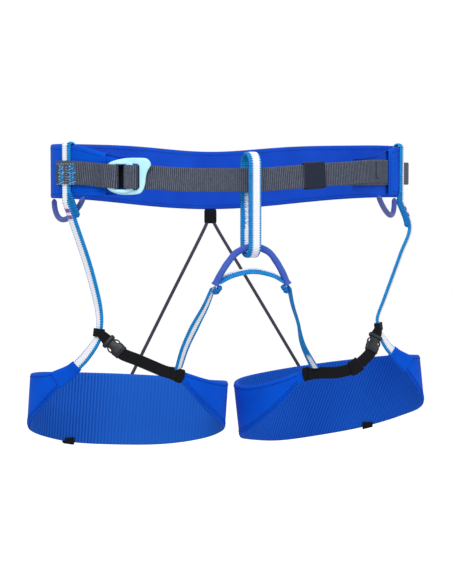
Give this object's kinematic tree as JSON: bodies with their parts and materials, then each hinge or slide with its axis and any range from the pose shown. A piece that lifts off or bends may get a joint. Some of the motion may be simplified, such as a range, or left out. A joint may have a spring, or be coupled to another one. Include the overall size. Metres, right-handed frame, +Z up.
{
  "type": "climbing harness",
  "caption": "Climbing sit harness with a padded waistbelt, webbing buckle, belay loop, tie-in ring, gear loops and two padded leg loops hung on slings.",
  "frame": {"origin": "centre of the waist opening, at the mid-height of the waist webbing", "axes": "+X to the wearer's left as seen from in front, +Y to the wearer's back, +Z up along the wearer"},
  "size_m": [0.4565, 0.2096, 0.3427],
  "materials": {
    "shell": "satin",
    "foam": "matt",
    "lining": "matt",
    "webbing": "matt",
    "metal": "satin anodised",
    "sling": "matt",
    "sheath": "matt",
    "gear": "satin",
    "black": "matt",
    "plastic": "satin",
    "cord": "matt braided cover"
  },
  "bodies": {
    "waist": {"waistbelt_shell": "shell", "waistbelt_foam": "foam", "waistbelt_lining": "lining", "buckle_webbing": "webbing", "waist_webbing": "webbing", "right_webbing_end": "webbing", "tie_in_sheath": "sheath", "tie_in_webbing": "sling", "tie_in_cross_sling": "sling", "rear_tab": "black", "left_side_sling": "sling", "left_front_sling": "sling", "left_rear_cord": "cord", "right_side_sling": "sling", "right_front_sling": "sling", "right_rear_cord": "cord"},
    "buckle": {"buckle_outer_frame": "metal", "buckle_slider": "metal"},
    "keeper": {"webbing_keeper": "black"},
    "belay": {"belay_loop": "sling"},
    "left_gear_loop": {"left_gear_loop": "gear"},
    "left_leg": {"left_leg_shell": "shell", "left_leg_foam": "foam", "left_leg_lining": "lining", "left_plug": "plastic", "left_leg_strap": "black", "left_strap_hoop": "black", "left_lower_sling": "sling", "left_cord_anchor": "black", "left_pad_tab": "black"},
    "left_socket": {"left_socket": "plastic"},
    "left_prong_a": {"left_prong_a": "plastic"},
    "left_prong_b": {"left_prong_b": "plastic"},
    "right_gear_loop": {"right_gear_loop": "gear"},
    "right_leg": {"right_leg_shell": "shell", "right_leg_foam": "foam", "right_leg_lining": "lining", "right_plug": "plastic", "right_leg_strap": "black", "right_strap_hoop": "black", "right_lower_sling": "sling", "right_cord_anchor": "black", "right_pad_tab": "black"},
    "right_socket": {"right_socket": "plastic"},
    "right_prong_a": {"right_prong_a": "plastic"},
    "right_prong_b": {"right_prong_b": "plastic"}
  },
  "joints": [
    {"name": "buckle_tilt", "type": "hinge", "parent": "waist", "child": "buckle", "pos_m": [-0.148, -0.0718, 0.0028], "axis": [0, 0, -1], "range_deg": [0, 35], "deforming": ["buckle_webbing", "waist_webbing"]},
    {"name": "keeper_slide", "type": "slide", "parent": "waist", "child": "keeper", "axis": [0.9825, 0.172, 0.0717], "range_m": [-0.012, 0.012]},
    {"name": "belay_loop_swing", "type": "hinge", "parent": "waist", "child": "belay", "pos_m": [0, -0.0985, 0], "axis": [1, 0, 0], "range_deg": [-4, 4]},
    {"name": "left_gear_loop_swing", "type": "hinge", "parent": "waist", "child": "left_gear_loop", "pos_m": [-0.1839, -0.0156, -0.01944], "axis": [-0.3442, 0.9389, 0], "range_deg": [-12, 12], "stiffness_Nm_per_rad": 0.02},
    {"name": "left_leg_swing", "type": "hinge", "parent": "waist", "child": "left_leg", "pos_m": [-0.114, 0.0285, -0.04], "axis": [-1, 0, 0], "range_deg": [-10, 30], "deforming": ["left_side_sling", "left_front_sling", "left_rear_cord"]},
    {"name": "left_socket_release", "type": "slide", "parent": "left_leg", "child": "left_socket", "axis": [0.6487, -0.4423, -0.6193], "range_m": [0, 0.022], "deforming": ["left_leg_strap"]},
    {"name": "left_prong_a_squeeze", "type": "hinge", "parent": "left_leg", "child": "left_prong_a", "pos_m": [-0.14872, -0.05748, -0.17629], "axis": [-0.32, -0.8969, 0.3054], "range_deg": [0, 5], "stiffness_Nm_per_rad": 0.01},
    {"name": "left_prong_b_squeeze", "type": "hinge", "parent": "left_leg", "child": "left_prong_b", "pos_m": [-0.14334, -0.05748, -0.17065], "axis": [0.32, 0.8969, -0.3054], "range_deg": [0, 5], "stiffness_Nm_per_rad": 0.01},
    {"name": "right_gear_loop_swing", "type": "hinge", "parent": "waist", "child": "right_gear_loop", "pos_m": [0.17495, -0.02493, -0.01912], "axis": [-0.5244, -0.8515, 0], "range_deg": [-12, 12], "stiffness_Nm_per_rad": 0.02},
    {"name": "right_leg_swing", "type": "hinge", "parent": "waist", "child": "right_leg", "pos_m": [0.114, 0.0285, -0.04], "axis": [-1, 0, 0], "range_deg": [-10, 30], "deforming": ["right_side_sling", "right_front_sling", "right_rear_cord"]},
    {"name": "right_socket_release", "type": "slide", "parent": "right_leg", "child": "right_socket", "axis": [-0.4158, -0.4312, -0.8008], "range_m": [0, 0.022], "deforming": ["right_leg_strap"]},
    {"name": "right_prong_a_squeeze", "type": "hinge", "parent": "right_leg", "child": "right_prong_a", "pos_m": [0.15403, -0.05667, -0.17718], "axis": [-0.1987, 0.9023, -0.3827], "range_deg": [0, 5], "stiffness_Nm_per_rad": 0.01},
    {"name": "right_prong_b_squeeze", "type": "hinge", "parent": "right_leg", "child": "right_prong_b", "pos_m": [0.14711, -0.05667, -0.17359], "axis": [0.1987, -0.9023, 0.3827], "range_deg": [0, 5], "stiffness_Nm_per_rad": 0.01}
  ],
  "couplings": [
    {"joint": "left_prong_b_squeeze", "follows": "left_prong_a_squeeze", "ratio": 1},
    {"joint": "right_prong_b_squeeze", "follows": "right_prong_a_squeeze", "ratio": 1}
  ]
}
